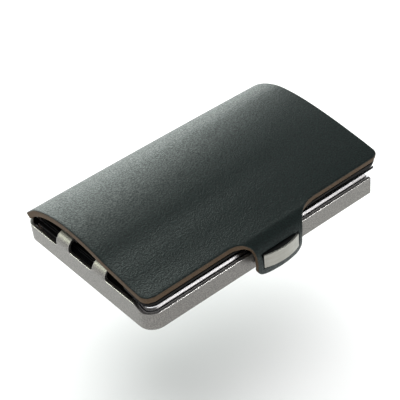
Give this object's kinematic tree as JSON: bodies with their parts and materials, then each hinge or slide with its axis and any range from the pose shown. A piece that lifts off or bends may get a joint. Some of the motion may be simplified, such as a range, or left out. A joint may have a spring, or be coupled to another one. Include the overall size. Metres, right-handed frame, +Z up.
{
  "type": "card holder with money clip",
  "caption": "Flat metal card case with a polished tray open at one short end, a spring money clip on top and an arched leather cover that a front tab closes.",
  "frame": {"origin": "bottom centre of the whole object's bounding box, on the table plane", "axes": "+X along the long side towards the open card mouth, +Y from the closing tab towards the cover's hinge side, +Z up"},
  "size_m": [0.0917, 0.0672, 0.0173],
  "materials": {
    "satin_metal": "satin, fine bead-blasted, warm grey",
    "spring_steel": "satin, warm grey",
    "polished_metal": "mirror polished",
    "bright_steel": "satin, bare",
    "black_plastic": "fine matt moulding",
    "dark_leather": "smooth dark green-black leather, brown cut edges",
    "black_leather": "black, matt",
    "black_lining": "black, matt lining",
    "magnet_nickel": "nickel plated"
  },
  "bodies": {
    "case": {"clip_frame": "satin_metal", "card_tray": "polished_metal", "bay_cover": "black_plastic", "spine_margin": "dark_leather", "clip_rivet_1": "bright_steel", "clip_rivet_2": "bright_steel", "floor_rivet_1": "bright_steel", "floor_rivet_2": "bright_steel", "floor_rivet_3": "bright_steel", "floor_rivet_4": "bright_steel", "floor_rivet_5": "bright_steel", "floor_rivet_6": "bright_steel", "bay_rivet_1": "bright_steel", "bay_rivet_2": "bright_steel"},
    "clip": {"clip_leaf": "spring_steel"},
    "cover": {"cover_leather": "dark_leather", "cover_lining": "black_lining", "edge_strip": "black_leather"},
    "tab": {"closure_tab": "dark_leather", "plate_seat": "black_plastic", "closure_plate": "bright_steel", "closure_cup": "bright_steel", "closure_magnet": "magnet_nickel"}
  },
  "joints": [
    {"name": "cover_hinge", "type": "hinge", "parent": "case", "child": "cover", "pos_m": [-0.00285, 0.03375, 0.0067], "axis": [-1, 0, 0], "range_deg": [0, 160]},
    {"name": "clip_flex", "type": "hinge", "parent": "case", "child": "clip", "pos_m": [-0.0397, 0.00315, 0.0088], "axis": [0, -1, 0], "range_deg": [0, 2.5], "stiffness_Nm_per_rad": 2},
    {"name": "tab_lift", "type": "hinge", "parent": "cover", "child": "tab", "pos_m": [-0.0015, -0.0266, 0.01158], "axis": [-1, 0, 0], "range_deg": [0, 35], "stiffness_Nm_per_rad": 0.002}
  ]
}
